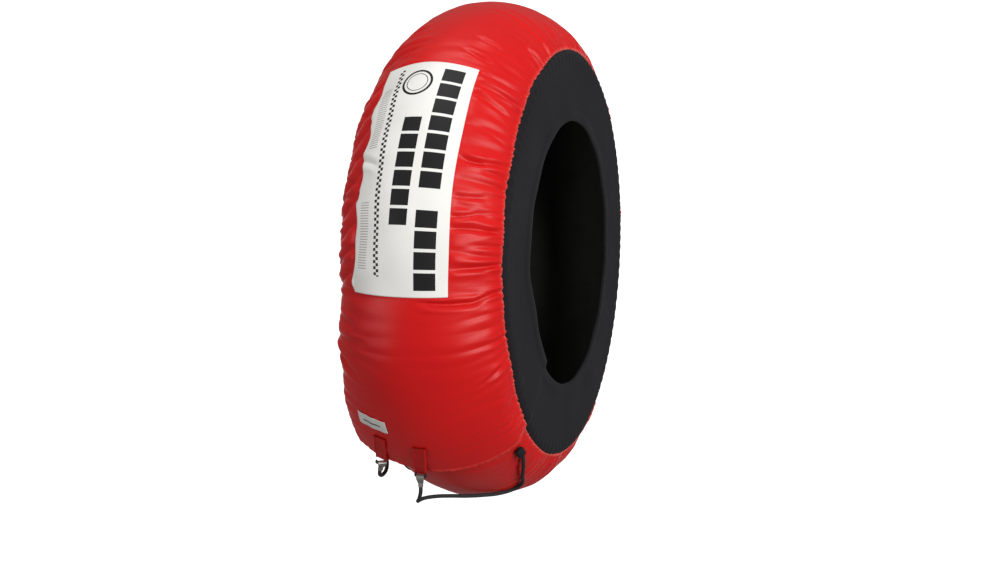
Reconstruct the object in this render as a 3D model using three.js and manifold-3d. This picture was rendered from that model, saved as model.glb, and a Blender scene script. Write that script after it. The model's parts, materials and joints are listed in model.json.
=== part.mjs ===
import * as THREE from "three";
import { mergeVertices } from "three/addons/utils/BufferGeometryUtils.js";
import Module from "manifold-3d";

// Motorcycle tire warmer in the ring shape that it has when a wheel wears it. Millimetres, +Z up.
// The origin is the wheel's centre, the axle runs along X, and the label and the flap face -Y.
// Angles are in degrees round the axle, from the top towards the front, and the wrap starts at its
// tucked inner end and ends at its flap a little more than one turn later.
// Arc places are measured across the tread from the crown, plus towards +X.
// Depths are measured square to the cloth, inwards from the cover's mean outer face.

// Section of the cover over the tread and the shoulders
const wrapRadius = 329;
const crownBend = 118;
const crownAngle = 50;
const shoulderBend = 52;
const shoulderAngle = 78;
const seamGap = 0.7;

// Side panels. At the opening, the flap's end of each stands panelLap off its tucked end.
const panelTurn = 40;
const panelSlope = 90.5;
const openingRadius = 173.9;
const panelThickness = 3.6;
const panelHemWidth = 14;
const panelHemExtra = 1.2;
const panelHemStep = 1;
const panelTurnShare = 0.6;
const panelStart = 129;
const panelLap = 5.4;

// Wrap round the wheel, and its rows of points
const tuckAngle = 114;
const flapAngle = 495.6;
const tongueHalfWidth = 99;
const tongueClear = 1.6;
const tongueTaper = 3.6;
const coarseSteps = 32;
const fineSteps = 6;
const rowClear = 0.3;
const edgeClear = 2;

// Flap: how far it lies off the round over the tucked end, and how far its left corner curls off
const flapLift = 12;
const flapLiftStart = 450;
const flapLiftFull = 472;
const seamLiftShare = 0.37;
const flapCurl = 15;
const curlStart = 468;
const curlInset = 25;

// Gathers of the cover, and the calm places round what is sewn on
const puckerDepth = 2.1;
const puckerReach = 0.5;
const puckerEven = 0.7;
const puckerSwingRight = 1.9;
const puckerSwingLeft = 2.3;
const foldDepth = 1.5;
const foldReach = 0.4;
const foldPace = 0.83;
const foldLean = 1 / 31;
const foldDrift = 0.31;
const foldDriftLean = 1 / 57;
const calmAround = 1.6;
const labelCalmAngle = 2;
const labelCalmArc = 1;

// Layers
const coverThickness = 3;
const layerGap = 0.6;
const insulationThickness = 6;
const elementThickness = 1.8;
const elementWidth = 3;
const elementGap = 0.8;
const linerThickness = 1.5;
const linerReach = 0.92;
const paddedRows = 30;

// Heating element: runs across the tread, an even number so that both its ends are on the left
const elementRuns = 14;
const elementStart = 175.2;
const elementEnd = 469.5;
const elementReach = 0.8;
const returnLine = -0.84;

// Labels
const labelGap = 0.55;
const labelThickness = 0.7;
const labelLeft = -65;
const labelRight = 57;
const labelTop = 401.8;
const labelBottom = 453.6;
const smallLabelLeft = -76;
const smallLabelRight = -36;
const smallLabelTop = 482.2;
const smallLabelBottom = 485.4;

// Hem bindings and closure strips
const bindingGap = 0.35;
const bindingWidth = 5;
const bindingProud = 0.6;
const bindingRound = 1.2;
const stripHalfWidth = 82;
const stripInset = 1;
const stripRun = 7.4;
const stripEnd = flapAngle - 360 - stripInset;
const stripStart = stripEnd - stripRun;
const stripThickness = 1.2;
const stripGap = 0.35;
const hookStripGap = 0.9;

// Flap tabs with their elastic loops
const tabWidth = 16;
const tabThickness = 1.6;
const tabRightArc = -1;
const tabLeftArc = -52;
const tabLean = -12;
const tabRun = 7.6;
const tabOverhang = 8;
const tabGap = 0.4;
const tabFold = 0.9;
const loopWire = 2.5;
const loopDrop = 6.8;
const loopGap = 0.3;
const loopCornerWidth = 0.8;
const loopCornerDrop = 0.2;
const loopSides = 6;
const loopSteps = 12;

// Hooks of the bungees
const hookWidth = 10.4;
const hookFootWidth = 7;
const hookMetal = 1.5;
const hookClear = 0.5;
const hookLeg = 8;
const hookLip = 2.5;
const hookShoulder = 2.2;
const hookBendSteps = 5;
const socketDiameter = 7;
const socketLength = 5;
const socketLap = 1;
const roundSides = 8;
const leftHookTurn = 40;
const loopWidth = hookWidth + 2 * loopWire + 3 * hookClear;

// Bungees and their anchor sleeves
const bungeeDiameter = 5;
const bungeeStepShare = 1.3;
const anchorWidth = 11;
const anchorThickness = 6.6;
const anchorLength = 16;
const anchorArc = 104;
const anchorAngle = 143;

// Pocket in the insulation, with the electric parts, and the gland above it
const pocketStart = 150.6;
const pocketEnd = 173.4;
const pocketSpare = 4.1;
const pocketDeep = 8;
const partsDepth = 6.5;
const glandArc = -84;
const glandAngle = 153.6;
const glandFlange = 22;
const glandFlangeThickness = 2.6;
const glandRimHeight = 1.4;
const glandCrown = 15.8;
const glandDish = 9.6;
const glandDishFloor = 7.2;
const glandDishHeight = 1.3;
const glandNeck = 12;
const glandNeckLength = 10;
const glandClear = 0.35;
const glandSides = 10;
const boreLength = 40;
const boreSides = 16;
const switchArc = -63;
const switchAngle = 156.2;
const switchLength = 20;
const switchWidth = 12;
const switchHeight = 4.6;
const switchCorner = 2.5;
const cutoutAngle = 165;
const cutoutLength = 11;
const cutoutDiameter = 4.4;
const terminalAngle = 172.4;
const spliceLength = 9;
const spliceDiameter = 4;
const spliceDepth = 10;
const leadDiameter = 2.2;
const leadSides = 6;
const leadSteps = 7;
const leadSink = 8;
const jointGap = 0.5;
const probeAngle = 0.2;
const probeArc = 0.5;

const finish = {
  cover: { color: 0xd01c14, roughness: 0.5 },
  panel: { color: 0x1b1d22, roughness: 0.9 },
  label: { color: 0xe9e7e0, roughness: 0.6 },
  binding: { color: 0xb8160f, roughness: 0.6 },
  elastic: { color: 0x121212, roughness: 0.8 },
  hook: { color: 0x9a9691, roughness: 0.4, metalness: 0.9 },
  strip: { color: 0x17171a, roughness: 1 },
  insulation: { color: 0xd8d4c8, roughness: 1 },
  element: { color: 0xb9b4ab, roughness: 0.6 },
  liner: { color: 0x33312c, roughness: 1 },
  switchCase: { color: 0x2b2b2d, roughness: 0.5 },
  splice: { color: 0xc9a227, roughness: 0.4 },
  lead: { color: 0xe6e1d6, roughness: 0.5 },
  gland: { color: 0x151515, roughness: 0.7 },
};

const group = new THREE.Group();

function addPart(name, geometry, look) {
  geometry.computeVertexNormals();
  const material = new THREE.MeshStandardMaterial(look);
  material.flatShading = false;
  const mesh = new THREE.Mesh(geometry, material);
  mesh.name = name;
  group.add(mesh);
  return mesh;
}

function radians(angle) {
  return THREE.MathUtils.degToRad(angle);
}

// Slow start and slow end between 0 and 1
function ease(value) {
  return THREE.MathUtils.smoothstep(value, 0, 1);
}

// The half section is three bends, one after the other, and then a straight side panel
const bends = [
  { bend: crownBend, end: radians(crownAngle) },
  { bend: shoulderBend, end: radians(shoulderAngle) },
  { bend: panelTurn, end: radians(panelSlope) },
];
const halfWidth = crownBend * bends[0].end + shoulderBend * (bends[1].end - bends[0].end);

function meridian(arc) {
  let left = Math.abs(arc);
  let x = 0;
  let radius = wrapRadius;
  let slope = 0;
  for (const { bend, end } of bends) {
    const next = Math.min(slope + left / bend, end);
    x += bend * (Math.sin(next) - Math.sin(slope));
    radius += bend * (Math.cos(next) - Math.cos(slope));
    left -= bend * (next - slope);
    slope = next;
  }
  const side = arc < 0 ? -1 : 1;
  return {
    x: side * (x + left * Math.cos(slope)),
    radius: radius - left * Math.sin(slope),
    slope: side * slope,
  };
}

const turnArc = panelTurn * (bends[2].end - bends[1].end);
const turnRadius = meridian(halfWidth + turnArc).radius;
const panelArc = turnArc + (turnRadius - openingRadius) / Math.sin(bends[2].end);

// How far the flap's stretch of cloth stands off the round
function lift(arc, angle) {
  const spread = Math.abs(arc);
  const rise = ease((angle - flapLiftStart) / (flapLiftFull - flapLiftStart));
  const outside = ease((spread - tongueHalfWidth) / (halfWidth - tongueHalfWidth));
  const share = 1 - (1 - seamLiftShare) * outside;
  const curlAlong = ease((angle - curlStart) / (flapAngle - curlStart));
  const curlAcross = ease((-arc - curlInset) / (halfWidth - curlInset));
  const onPanel = Math.max(spread - halfWidth, 0) / panelArc;
  const atSeam = flapLift * rise * share + flapCurl * curlAlong * curlAcross;
  return atSeam * (1 - onPanel) + panelLap * rise * onPanel;
}

function outward(arc, angle) {
  const { slope } = meridian(arc);
  const turn = radians(angle);
  const rise = Math.cos(slope);
  return new THREE.Vector3(Math.sin(slope), -rise * Math.sin(turn), rise * Math.cos(turn));
}

function onWrap(arc, angle, depth) {
  const { x, radius } = meridian(arc);
  const turn = radians(angle);
  const point = new THREE.Vector3(x, -radius * Math.sin(turn), radius * Math.cos(turn));
  return point.addScaledVector(outward(arc, angle), lift(arc, angle) - depth);
}

// The tucked end is a narrower tongue, which widens just past the flap's hem
function coverHalfWidth(angle) {
  const tongueEnd = flapAngle - 360 + tongueClear;
  return THREE.MathUtils.lerp(tongueHalfWidth, halfWidth, ease((angle - tongueEnd) / tongueTaper));
}

const wrapStep = (flapAngle - tuckAngle) / coarseSteps;
const coarseAngles = Array.from({ length: coarseSteps + 1 }, (_, i) => tuckAngle + wrapStep * i);
const fineCount = coarseSteps * fineSteps;
const fineAngles = Array.from({ length: fineCount + 1 }, (_, i) => tuckAngle + (wrapStep * i) / fineSteps);

function range(from, to, count) {
  return Array.from({ length: count + 1 }, (_, i) => from + ((to - from) * i) / count);
}

// Triangles between two rims, always across the shorter diagonal
function stitch(points, upper, lower, forward) {
  const faces = [];
  let k = 0;
  let m = 0;
  while (k < upper.length - 1 || m < lower.length - 1) {
    const upperLeft = k < upper.length - 1;
    const lowerLeft = m < lower.length - 1;
    const alongUpper = upperLeft ? points[upper[k + 1]].distanceTo(points[lower[m]]) : Infinity;
    const alongLower = lowerLeft ? points[upper[k]].distanceTo(points[lower[m + 1]]) : Infinity;
    if (alongUpper <= alongLower) {
      faces.push([upper[k], upper[k + 1], lower[m]]);
      k += 1;
    } else {
      faces.push([lower[m + 1], lower[m], upper[k]]);
      m += 1;
    }
  }
  return forward ? faces : faces.map(([a, b, c]) => [b, a, c]);
}

function column(grid, place) {
  return grid.map((row) => row[place]);
}

function gridFaces(grid, outwards) {
  const faces = [];
  for (let i = 0; i < grid.length - 1; i += 1) {
    for (let j = 0; j < grid[i].length - 1; j += 1) {
      const [a, b, c, d] = [grid[i][j], grid[i + 1][j], grid[i + 1][j + 1], grid[i][j + 1]];
      faces.push([a, b, c], [a, c, d]);
    }
  }
  return outwards ? faces : faces.map(([a, b, c]) => [a, c, b]);
}

function meshOf(points, faces) {
  const geometry = new THREE.BufferGeometry();
  const flat = points.flatMap((point) => point.toArray());
  geometry.setAttribute("position", new THREE.Float32BufferAttribute(flat, 3));
  geometry.setIndex(faces.flat());
  return geometry;
}

// A closed sheet between an outer and an inner grid of points, stitched all round its edge.
// Rows run round the wheel and columns run across the tread, and the grids may differ in both counts.
function sheet(outer, inner) {
  const points = [];
  const numbered = (grid) => grid.map((row) => row.map((point) => points.push(point) - 1));
  const top = numbered(outer);
  const under = numbered(inner);
  const faces = [
    ...gridFaces(top, true),
    ...gridFaces(under, false),
    ...stitch(points, column(top, 0), column(under, 0), false),
    ...stitch(points, column(top, top[0].length - 1), column(under, under[0].length - 1), true),
    ...stitch(points, top[0], under[0], true),
    ...stitch(points, top[top.length - 1], under[under.length - 1], false),
  ];
  return meshOf(points, faces);
}

// A flat tape along a list of points, each with the way its face looks, with mitred corners
function tape(points, faceWays, width, thickness) {
  const last = points.length - 1;
  const rings = points.map((point, i) => {
    const before = point.clone().sub(points[Math.max(i - 1, 0)]).normalize();
    const after = points[Math.min(i + 1, last)].clone().sub(point).normalize();
    const along = before.clone().add(after).normalize();
    const face = faceWays[i].clone().addScaledVector(along, -along.dot(faceWays[i])).normalize();
    const across = new THREE.Vector3().crossVectors(along, face).normalize();
    const bend = i > 0 && i < last ? Math.sqrt((1 + before.dot(after)) / 2) : 1;
    const half = width / 2 / bend;
    return [[1, 1], [-1, 1], [-1, -1], [1, -1]].map(([side, level]) => point.clone()
      .addScaledVector(across, side * half)
      .addScaledVector(face, (level * thickness) / 2));
  });
  const faces = [[0, 1, 2], [0, 2, 3]];
  for (let i = 0; i < last; i += 1) {
    for (let j = 0; j < 4; j += 1) {
      const [a, b] = [4 * i + j, 4 * i + ((j + 1) % 4)];
      faces.push([a, a + 4, b + 4], [a, b + 4, b]);
    }
  }
  const end = 4 * last;
  faces.push([end, end + 2, end + 1], [end, end + 3, end + 2]);
  return meshOf(rings.flat(), faces);
}

// A round cord along a curve, whose ends are flat
function cord(points, diameter, sides, steps) {
  const section = new THREE.Shape();
  range(0, 2 * Math.PI, sides).slice(0, sides).forEach((turn, i) => {
    const [u, v] = [(diameter / 2) * Math.cos(turn), (diameter / 2) * Math.sin(turn)];
    if (i === 0) section.moveTo(u, v);
    else section.lineTo(u, v);
  });
  section.closePath();
  const path = new THREE.CatmullRomCurve3(points, false, "centripetal");
  return new THREE.ExtrudeGeometry(section, { steps, extrudePath: path, curveSegments: 1 });
}

const wasm = await Module();
wasm.setup();

function solidOf(geometry) {
  const bare = geometry.clone();
  bare.deleteAttribute("normal");
  bare.deleteAttribute("uv");
  const merged = mergeVertices(bare, 1e-4);
  return new wasm.Manifold(new wasm.Mesh({
    numProp: 3,
    vertProperties: new Float32Array(merged.attributes.position.array),
    triVerts: new Uint32Array(merged.index.array),
  }));
}

function geometryOf(solid) {
  const mesh = solid.getMesh();
  const geometry = new THREE.BufferGeometry();
  geometry.setAttribute("position", new THREE.BufferAttribute(new Float32Array(mesh.vertProperties), 3));
  geometry.setIndex(new THREE.BufferAttribute(new Uint32Array(mesh.triVerts), 1));
  return geometry;
}

// Gathers. Puckers stand at every second row along the seams, and longer folds run on to the crown.
function gather(arc, row) {
  const reach = Math.abs(arc) / halfWidth;
  const swing = arc > 0 ? puckerSwingRight : puckerSwingLeft;
  const strength = puckerEven + (1 - puckerEven) * Math.sin(row * swing);
  const pucker = (row % 2 === 0 ? -1 : 1) * strength * ease((reach - puckerReach) / (1 - puckerReach));
  const wave = Math.sin(row * foldPace + arc * foldLean) * Math.cos(row * foldDrift - arc * foldDriftLean);
  const fold = wave * ease(reach / foldReach);
  return (puckerDepth * pucker + foldDepth * fold) * calm(arc, fineAngles[row]);
}

function apart(arc, angle, otherArc, otherAngle) {
  return Math.hypot(arc - otherArc, radians(angle - otherAngle) * wrapRadius);
}

// The cloth lies smooth under the label, the closure strips, the tabs, the gland and the anchors
function calm(arc, angle) {
  const spread = Math.abs(arc);
  const inside = 1 - ease((spread - tongueHalfWidth) / (halfWidth - tongueHalfWidth));
  const tongue = 1 - ease((angle - (flapAngle - 360)) / (2 * tongueTaper));
  const flap = ease((angle - flapLiftFull) / wrapStep + 1) * inside;
  const gland = apart(arc, angle, glandArc, glandAngle) < calmAround * glandFlange ? 1 : 0;
  const anchored = apart(spread, angle, anchorArc, anchorAngle) < calmAround * anchorLength ? 1 : 0;
  const alongLabel = angle > labelTop - labelCalmAngle && angle < labelBottom + labelCalmAngle;
  const acrossLabel = arc > labelLeft - labelCalmArc && arc < labelRight + labelCalmArc;
  return alongLabel && acrossLabel ? 0 : (1 - tongue) * (1 - flap) * (1 - gland) * (1 - anchored);
}

const coverLines = [-1, -0.87, -0.7, -0.51, -0.22, 0.11, 0.445, 0.64, 0.83, 1];
const coverFace = fineAngles.map((angle, row) => coverLines.map((line) => {
  const arc = line * coverHalfWidth(angle);
  return onWrap(arc, angle, -gather(arc, row));
}));

// Point of the cover's outer face, a height above it
function onCover(arc, angle, height) {
  const row = Math.min(Math.floor(((angle - tuckAngle) / wrapStep) * fineSteps), fineCount - 1);
  const u = ((angle - tuckAngle) / wrapStep) * fineSteps - row;
  const line = arc / coverHalfWidth(angle);
  const cell = Math.max(0, coverLines.findLastIndex((place) => place <= line));
  const left = Math.min(cell, coverLines.length - 2);
  const v = (line - coverLines[left]) / (coverLines[left + 1] - coverLines[left]);
  const [a, b] = [coverFace[row][left], coverFace[row + 1][left]];
  const [d, c] = [coverFace[row][left + 1], coverFace[row + 1][left + 1]];
  const point = a.clone();
  if (u >= v) point.addScaledVector(b.clone().sub(a), u).addScaledVector(c.clone().sub(b), v);
  else point.addScaledVector(d.clone().sub(a), v).addScaledVector(c.clone().sub(d), u);
  return point.addScaledVector(outward(arc, angle), height);
}

// Inner layers share these places across the tread, so that their flat facets lie parallel
const innerLines = [-linerReach, -0.75, -0.4, 0, 0.4, 0.75, linerReach];

function innerRow(lines, angle, depth) {
  return lines.map((line) => onWrap(line * coverHalfWidth(angle), angle, depth));
}

// Point between the inner layers, on the flat facet that spans its place
function onFacet(line, angle, depth) {
  const along = (angle - tuckAngle) / wrapStep;
  const row = Math.min(Math.max(Math.floor(along), 0), coarseSteps - 1);
  const before = innerLines.findLastIndex((place) => place <= line);
  const cell = Math.min(Math.max(before, 0), innerLines.length - 2);
  const across = (line - innerLines[cell]) / (innerLines[cell + 1] - innerLines[cell]);
  const [a, d] = innerRow(innerLines.slice(cell, cell + 2), coarseAngles[row], depth);
  const [b, c] = innerRow(innerLines.slice(cell, cell + 2), coarseAngles[row + 1], depth);
  const start = a.lerp(d, across);
  const end = b.lerp(c, across);
  return start.lerp(end, along - row);
}

// Outer cover, with its smooth underside on the coarser rows of the padding
const coverUnder = coarseAngles.map((angle) => innerRow([-1, ...innerLines, 1], angle, coverThickness));
const glandFrame = new THREE.Matrix4();
{
  const out = outward(glandArc, glandAngle);
  const round = new THREE.Vector3(0, -Math.cos(radians(glandAngle)), -Math.sin(radians(glandAngle)));
  const across = new THREE.Vector3().crossVectors(out, round);
  glandFrame.makeBasis(round, across, out).setPosition(onCover(glandArc, glandAngle, glandClear));
}
const boreRadius = glandNeck / 2 + glandClear;
const glandBore = new THREE.CylinderGeometry(boreRadius, boreRadius, boreLength, boreSides);
glandBore.rotateX(Math.PI / 2).applyMatrix4(glandFrame);
const cover = solidOf(sheet(coverFace, coverUnder)).subtract(solidOf(glandBore));
addPart("outer_cover", geometryOf(cover), finish.cover);

// Side panels: a stretch sheet from the seam to the round opening, with a folded hem. Its tucked end
// runs on below the flap's end, so the opening is closed all round.
function sidePanel(side) {
  const angles = [panelStart, ...coarseAngles.filter((angle) => angle > panelStart)];
  const hemArc = panelArc - panelHemWidth;
  const outerPlaces = [
    [seamGap, 0], [turnArc * panelTurnShare, 0], [turnArc, 0], [hemArc, 0], [hemArc + panelHemStep, 1],
    [panelArc, 1],
  ];
  const innerPlaces = [[seamGap, 0], [turnArc, 0], [hemArc, 0], [panelArc, 1]];
  const rows = (places, face) => angles.map((angle) => places.map(([place, hem]) => {
    const depth = face * panelThickness + hem * panelHemExtra * (face - 0.5);
    return onWrap(side * (halfWidth + place), angle, depth);
  }));
  const order = (grid) => (side > 0 ? grid : grid.map((row) => row.reverse()));
  return sheet(order(rows(outerPlaces, 0)), order(rows(innerPlaces, 1)));
}
addPart("side_panel_right", sidePanel(1), finish.panel);
addPart("side_panel_left", sidePanel(-1), finish.panel);

// A piece of cloth or tape that lies on a smooth place of the cover
function patch(left, right, top, bottom, gap, thickness) {
  const rowCount = Math.round(((bottom - top) / wrapStep) * fineSteps / 2);
  const angles = range(top, bottom, Math.max(2, rowCount));
  const lines = coverLines.map((line) => line * coverHalfWidth(top));
  const between = lines.filter((place) => place > left + edgeClear && place < right - edgeClear);
  const places = [left, ...between, right];
  const rows = (height) => angles.map((angle) => places.map((place) => onCover(place, angle, height)));
  return sheet(rows(gap + thickness), rows(gap));
}
addPart("front_label", patch(labelLeft, labelRight, labelTop, labelBottom, labelGap, labelThickness),
  finish.label);
addPart("small_label", patch(smallLabelLeft, smallLabelRight, smallLabelTop, smallLabelBottom,
  labelGap, labelThickness), finish.label);

// Padding under the cover and the liner against the tyre, on the same rows
function layer(depth, thickness) {
  const angles = coarseAngles.slice(0, paddedRows + 1);
  return sheet(angles.map((angle) => innerRow(innerLines, angle, depth)),
    angles.map((angle) => innerRow(innerLines, angle, depth + thickness)));
}
const insulationDepth = coverThickness + layerGap;
const elementDepth = insulationDepth + insulationThickness + elementGap;
const linerDepth = elementDepth + elementThickness + elementGap;
const returnArc = returnLine * halfWidth;
const pocketSides = [returnArc - pocketSpare, switchArc + switchWidth / 2 + pocketSpare];
const pocketMiddle = coarseAngles.filter((angle) => angle > pocketStart && angle < pocketEnd);
const pocketRows = [pocketStart, ...pocketMiddle, pocketEnd];
const pocketFace = (depth) => pocketRows.map((angle) => pocketSides.map((arc) => onWrap(arc, angle, depth)));
const pocketCut = sheet(pocketFace(0), pocketFace(linerDepth + pocketDeep));
const padding = solidOf(layer(insulationDepth, insulationThickness)).subtract(solidOf(pocketCut));
addPart("insulation", geometryOf(padding), finish.insulation);
addPart("inner_liner", layer(linerDepth, linerThickness), finish.liner);

// Heating element: one cord laid to and fro across the tread, whose far end comes back along the left
// edge
const elementMiddle = elementDepth + elementThickness / 2;
const elementPath = [];
const elementWays = [];
function elementPoint(line, angle) {
  elementPath.push(onFacet(line, angle, elementMiddle));
  elementWays.push(outward(line * coverHalfWidth(angle), angle));
}
const runLines = innerLines.filter((line) => Math.abs(line) < elementReach);
const runAngles = range(elementStart, elementEnd, elementRuns - 1);
function rowsBetween(from, to) {
  return coarseAngles.filter((angle) => angle > from + rowClear && angle < to - rowClear);
}
elementPoint(runLines[0], terminalAngle);
rowsBetween(terminalAngle, elementStart).forEach((angle) => elementPoint(runLines[0], angle));
runAngles.forEach((angle, run) => {
  const lines = run % 2 === 0 ? runLines : [...runLines].reverse();
  lines.forEach((line) => elementPoint(line, angle));
  const next = run < elementRuns - 1 ? runAngles[run + 1] : angle;
  rowsBetween(angle, next).forEach((row) => elementPoint(lines[lines.length - 1], row));
});
elementPoint(returnLine, elementEnd);
rowsBetween(terminalAngle, elementEnd).reverse().forEach((angle) => elementPoint(returnLine, angle));
elementPoint(returnLine, terminalAngle);
addPart("heating_element", tape(elementPath, elementWays, elementWidth, elementThickness), finish.element);

// Hem bindings, one folded over each end of the cover
function binding(angle, away) {
  const step = (distance) => THREE.MathUtils.radToDeg(distance / wrapRadius) * away;
  const near = angle + step(bindingGap);
  const middle = angle + step(bindingGap + bindingWidth / 2);
  const far = angle + step(bindingGap + bindingWidth);
  const width = coverHalfWidth(angle);
  const low = coverThickness + bindingProud;
  const row = (place, depth) => coverLines.map((line) => onWrap(line * width, angle, depth)
    .applyAxisAngle(new THREE.Vector3(1, 0, 0), radians(place - angle)));
  const top = -bindingProud;
  const outer = [row(near, top), row(middle, top), row(far, top + bindingRound)];
  const inner = [row(near, low), row(middle, low), row(far, low - bindingRound)];
  return away > 0 ? sheet(outer, inner) : sheet(outer.reverse(), inner.reverse());
}
addPart("flap_hem", binding(flapAngle, 1), finish.binding);
addPart("tuck_hem", binding(tuckAngle, -1), finish.binding);

// Hook-and-loop closure: the loop strip on the tongue, the hook strip under the flap
addPart("loop_strip", patch(-stripHalfWidth, stripHalfWidth, stripStart, stripEnd, stripGap, stripThickness),
  finish.strip);
function hookStrip() {
  const angles = [stripStart + 360, stripEnd + 360];
  const edge = stripHalfWidth / halfWidth;
  const places = [-edge, ...innerLines.filter((line) => Math.abs(line) < edge), edge];
  const depth = coverThickness + hookStripGap;
  const rows = (level) => angles.map((angle) => places.map((line) => onFacet(line, angle, level)));
  return sheet(rows(depth), rows(depth + stripThickness));
}
addPart("hook_strip", hookStrip(), finish.strip);

// Flap tabs: webbing sewn to the flap, over its hem, with an elastic loop at the free end
const down = new THREE.Vector3(0, 0, -1);

function tabGrid(arc, height) {
  const past = THREE.MathUtils.radToDeg(tabOverhang / wrapRadius);
  const steps = [[-tabRun, 0], [-tabRun / 2, 0], [-tabFold, bindingProud], [past, bindingProud]];
  return steps.map(([place, extra]) => [-1, 0, 1].map((side) => {
    const leaned = arc + (side * tabWidth) / 2 + (tabLean * (place + tabRun)) / (past + tabRun);
    const point = onWrap(leaned, flapAngle + Math.min(place, 0), -(height + extra));
    return point.applyAxisAngle(new THREE.Vector3(1, 0, 0), radians(Math.max(place, 0)));
  }));
}

function tab(arc) {
  return sheet(tabGrid(arc, tabGap + tabThickness), tabGrid(arc, tabGap));
}

// Middle of a tab's free edge
function tabTip(arc) {
  const rim = [tabGap, tabGap + tabThickness].map((height) => tabGrid(arc, height)[3][1]);
  return rim[0].lerp(rim[1], 0.5);
}

function tabLoop(tip) {
  const half = (loopWidth - loopWire) / 2;
  const top = tip.clone().addScaledVector(down, loopWire / 2 + loopGap);
  const low = top.clone().addScaledVector(down, loopDrop - loopWire);
  const place = (across, height) => new THREE.Vector3(top.x + across * half, top.y, height);
  const corner = loopCornerDrop * loopDrop;
  const points = [
    place(-loopCornerWidth, top.z), place(-1, top.z - corner), place(-1, low.z + corner),
    place(-loopCornerWidth, low.z), low, place(loopCornerWidth, low.z),
    place(1, low.z + corner), place(1, top.z - corner), place(loopCornerWidth, top.z),
  ];
  return cord(points, loopWire, loopSides, loopSteps);
}

function pin(diameter, length) {
  return new THREE.CylinderGeometry(diameter / 2, diameter / 2, length, roundSides);
}

// Bungee hook: a flat cane over the loop's lower bar, narrowing to a round socket for the cord
function hook(bar, way) {
  const inner = loopWire / 2 + hookClear;
  const outer = inner + hookMetal;
  const side = new THREE.Shape();
  side.moveTo(inner, -hookLip);
  side.absarc(0, 0, inner, 0, Math.PI, false);
  side.lineTo(-inner, -hookShoulder);
  side.lineTo(hookMetal / 2, -hookLeg);
  side.lineTo(-hookMetal / 2, -hookLeg);
  side.lineTo(-outer, -hookShoulder);
  side.absarc(0, 0, outer, Math.PI, 0, true);
  side.lineTo(outer, -hookLip);
  side.closePath();
  const flat = { depth: hookWidth, bevelEnabled: false, curveSegments: hookBendSteps };
  const strap = new THREE.ExtrudeGeometry(side, flat).translate(0, 0, -hookWidth / 2);
  const position = strap.attributes.position;
  for (let i = 0; i < position.count; i += 1) {
    const fall = ease(-position.getY(i) / hookLeg);
    position.setZ(i, position.getZ(i) * THREE.MathUtils.lerp(1, hookFootWidth / hookWidth, fall));
  }
  const socket = pin(socketDiameter, socketLength).translate(0, socketLap - hookLeg - socketLength / 2, 0);
  const up = way.clone().negate();
  const back = new THREE.Vector3().crossVectors(new THREE.Vector3(1, 0, 0), up).normalize().negate();
  const wide = new THREE.Vector3().crossVectors(back, up);
  const frame = new THREE.Matrix4().makeBasis(back, up, wide).setPosition(bar);
  return geometryOf(solidOf(strap).add(solidOf(socket))).applyMatrix4(frame);
}

// The right hook hangs square to its tab and the left one has turned edge-on
const closures = [
  { name: "right", arc: tabRightArc, turn: 0, pull: new THREE.Vector3(0, 0, -1) },
  { name: "left", arc: tabLeftArc, turn: leftHookTurn, pull: new THREE.Vector3(0, 0.6, -0.8) },
];
for (const { name, arc, turn, pull } of closures) {
  const tip = tabTip(arc);
  const bar = tip.clone().addScaledVector(down, loopGap + loopDrop - loopWire / 2);
  const turned = (geometry) => geometry.translate(-tip.x, -tip.y, 0)
    .rotateZ(radians(turn))
    .translate(tip.x, tip.y, 0);
  addPart(`flap_tab_${name}`, tab(arc), finish.cover);
  addPart(`tab_loop_${name}`, turned(tabLoop(tip)), finish.elastic);
  addPart(`hook_${name}`, turned(hook(bar, pull)), finish.hook);
}

// Anchor sleeves of the bungees, sewn on beside the seams. The right one lies along its seam and the
// left one square to it, so that each looks the way its cord leaves.
function anchor(arc, roundHalf, acrossHalf) {
  const half = THREE.MathUtils.radToDeg(roundHalf / wrapRadius);
  const places = [-1, 0, 1].map((end) => [arc + end * acrossHalf, anchorAngle + end * half]);
  const height = seamGap + anchorThickness / 2;
  const points = places.map(([place, angle]) => onWrap(place, angle, -height));
  return tape(points, places.map(([place, angle]) => outward(place, angle)), anchorWidth, anchorThickness);
}
addPart("bungee_anchor_right", anchor(anchorArc, anchorLength / 2, 0), finish.elastic);
addPart("bungee_anchor_left", anchor(-anchorArc, 0, anchorLength / 2), finish.elastic);

// Bungees: each runs from its hook's socket, below the flap, to its anchor
const bungees = {
  bungee_right: [
    [-14.5, -233.3, -268.3], [-14.5, -233.3, -273.2], [-15.2, -232.7, -277.2], [-19.3, -228.6, -286.8],
    [-24.4, -217.5, -291], [-22.2, -204.4, -291.3], [-12.7, -189.4, -292.1], [0, -171.9, -295],
    [14.1, -151.1, -299.4], [29.7, -130.9, -302.3], [45.2, -113.2, -303.2], [59.6, -104.1, -299.3],
    [70.2, -105.3, -292.4], [77.1, -113.8, -284.2], [81.2, -128, -274.8], [86.5, -141.2, -264.8],
    [93.2, -160.1, -241.9], [93.9, -163.8, -237.8], [94.2, -167.8, -234.8],
  ],
  bungee_left: [
    [-75.3, -218.1, -255.6], [-77.1, -216, -259.3], [-79, -210.9, -264.6], [-79.5, -201.8, -267],
    [-79.2, -190.5, -261.9], [-81.3, -185.2, -248.3], [-84.7, -180.6, -239.6], [-88.5, -177.6, -235.6],
  ],
};
for (const [name, route] of Object.entries(bungees)) {
  const points = route.map((place) => new THREE.Vector3(...place));
  const steps = Math.round(route.length * bungeeStepShare);
  addPart(name, cord(points, bungeeDiameter, roundSides, steps), finish.elastic);
}

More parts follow.
